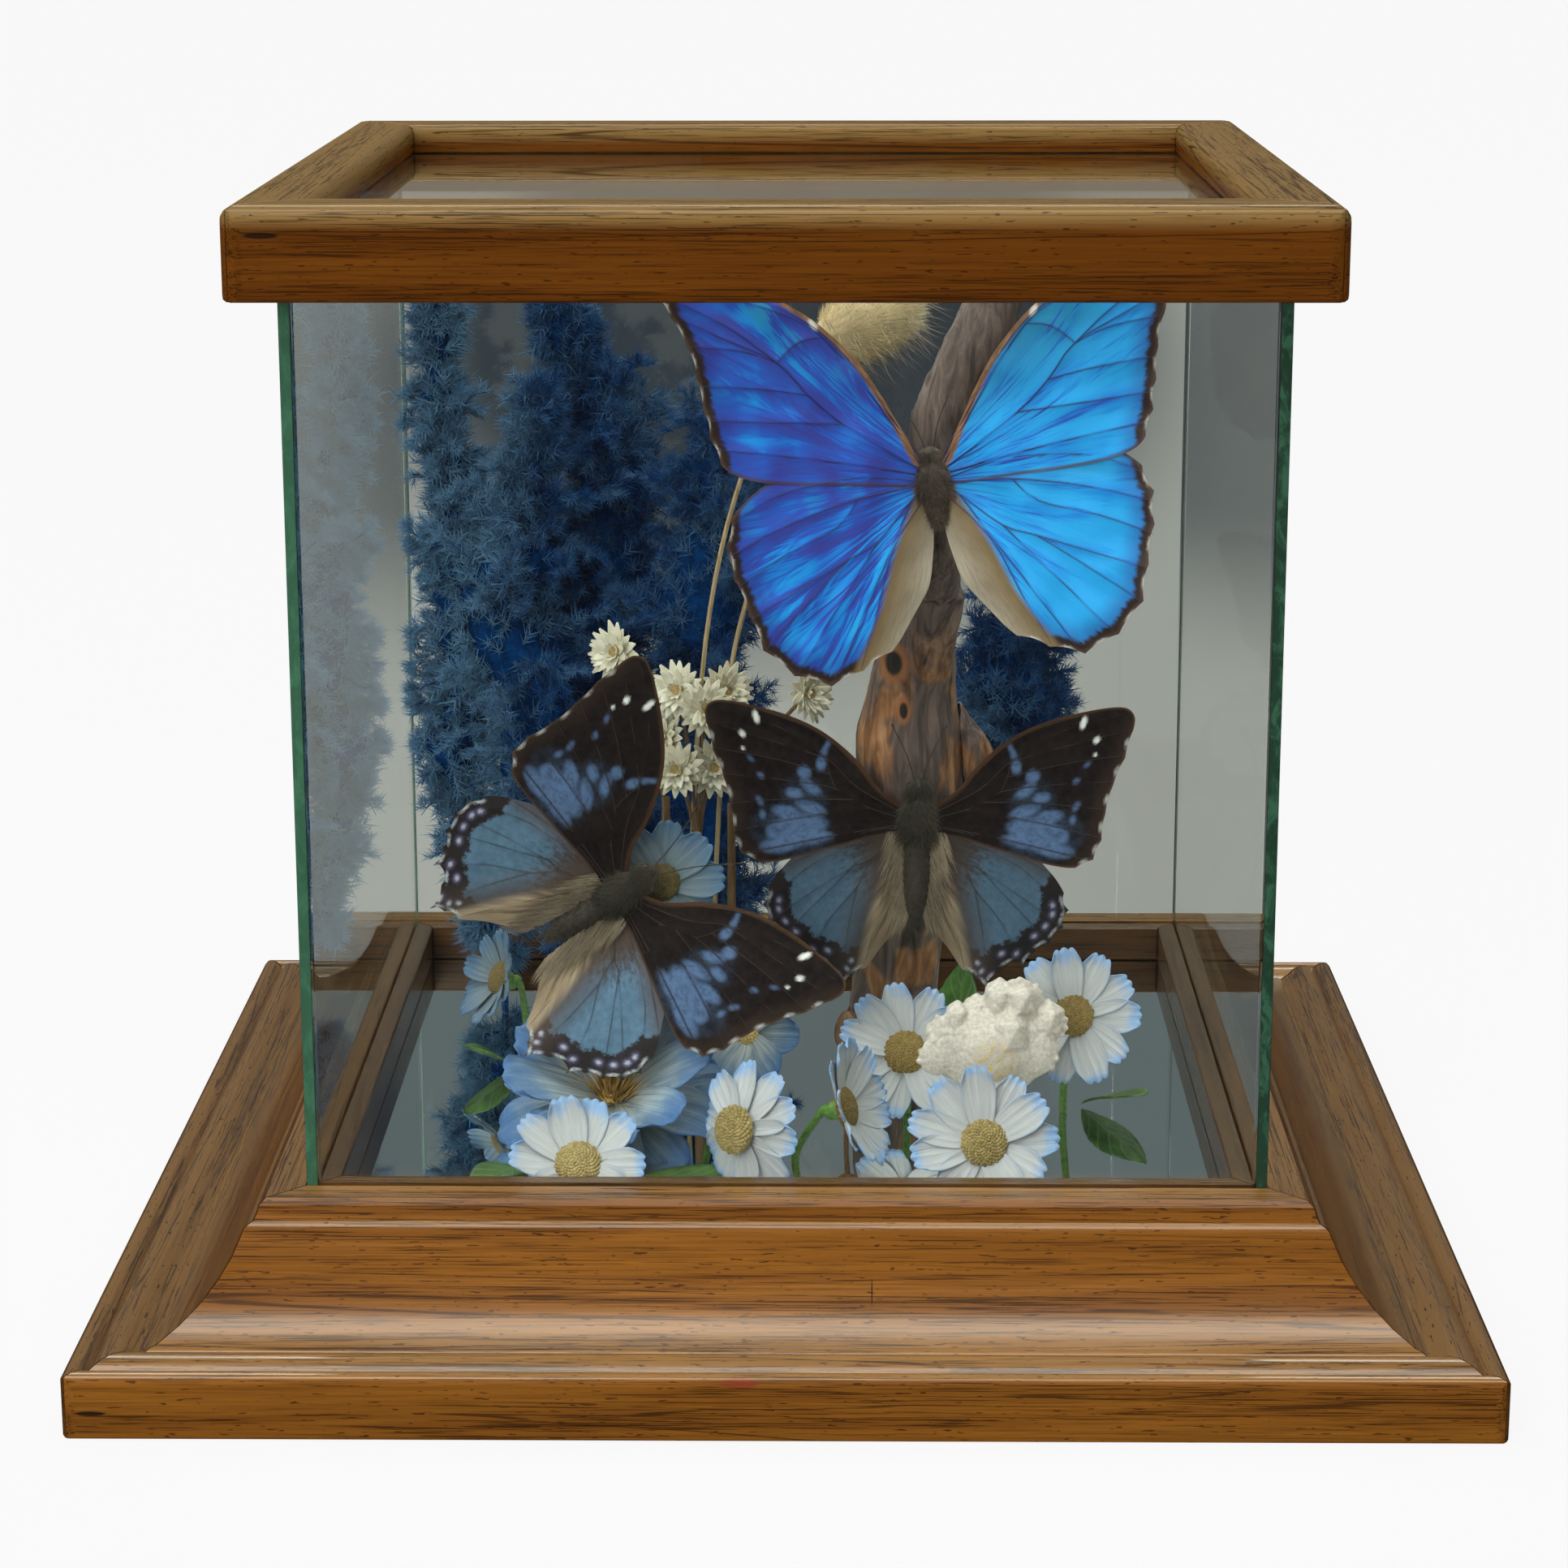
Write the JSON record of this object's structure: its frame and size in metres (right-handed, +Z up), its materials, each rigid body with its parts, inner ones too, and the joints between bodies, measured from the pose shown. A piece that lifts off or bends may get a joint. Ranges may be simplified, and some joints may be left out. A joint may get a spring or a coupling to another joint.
{
  "type": "butterfly display case",
  "caption": "Square glass display case with an oak base and top frame and a mirror floor, holding spread butterflies, driftwood and dried flowers.",
  "frame": {"origin": "middle of the base's underside", "axes": "+Z up, -Y is the front, +X to the viewer's right"},
  "size_m": [0.294, 0.294, 0.2455],
  "materials": {
    "oak": "stained and varnished oak with open grain, satin",
    "board": "bare fibreboard, matt",
    "mirror": "silvered glass",
    "glass": "clear float glass with green edges",
    "driftwood": "weathered wood with peeling bark, matt",
    "morpho_wings": "iridescent blue scales, dark veins and margins, satin",
    "charaxes_wings": "dark brown scales with powder blue bands, matt",
    "dyed_plume": "dyed plume fibres, matt",
    "grass_head": "dried grass hairs, matt",
    "star_flower": "dried bracts, matt",
    "white_petals": "white cloth petals with blue tips",
    "blue_petals": "pale blue cloth petals",
    "coral": "porous ivory, matt",
    "seed_pod": "dry seed pod, matt",
    "leaf": "green cloth leaf"
  },
  "bodies": {
    "root": {"base_rail_front": "oak", "base_rail_right": "oak", "base_rail_back": "oak", "base_rail_left": "oak", "top_rail_front": "oak", "top_rail_right": "oak", "top_rail_back": "oak", "top_rail_left": "oak", "base_panel": "board", "mirror_floor": "mirror", "top_glass": "glass", "pane_front": "glass", "pane_right": "glass", "pane_back": "glass", "pane_left": "glass", "driftwood_trunk": "driftwood", "driftwood_branch": "driftwood", "driftwood_root": "driftwood", "morpho": "morpho_wings", "charaxes_left": "charaxes_wings", "charaxes_right": "charaxes_wings", "plume_1": "dyed_plume", "leaf_1": "leaf", "plume_2": "dyed_plume", "leaf_2": "leaf", "plume_3": "dyed_plume", "leaf_3": "leaf", "plume_4": "dyed_plume", "leaf_4": "leaf", "plume_5": "dyed_plume", "leaf_5": "leaf", "bunny_tail_1": "grass_head", "bunny_tail_2": "grass_head", "star_spray_left": "star_flower", "star_spray_centre": "star_flower", "star_spray_right": "star_flower", "daisy_1": "white_petals", "daisy_2": "white_petals", "daisy_3": "white_petals", "daisy_4": "white_petals", "daisy_5": "white_petals", "daisy_6": "white_petals", "daisy_7": "white_petals", "daisy_8": "white_petals", "blue_flower": "blue_petals", "blue_flower_small": "blue_petals", "coral": "coral", "seed_pod": "seed_pod"}
  },
  "joints": []
}
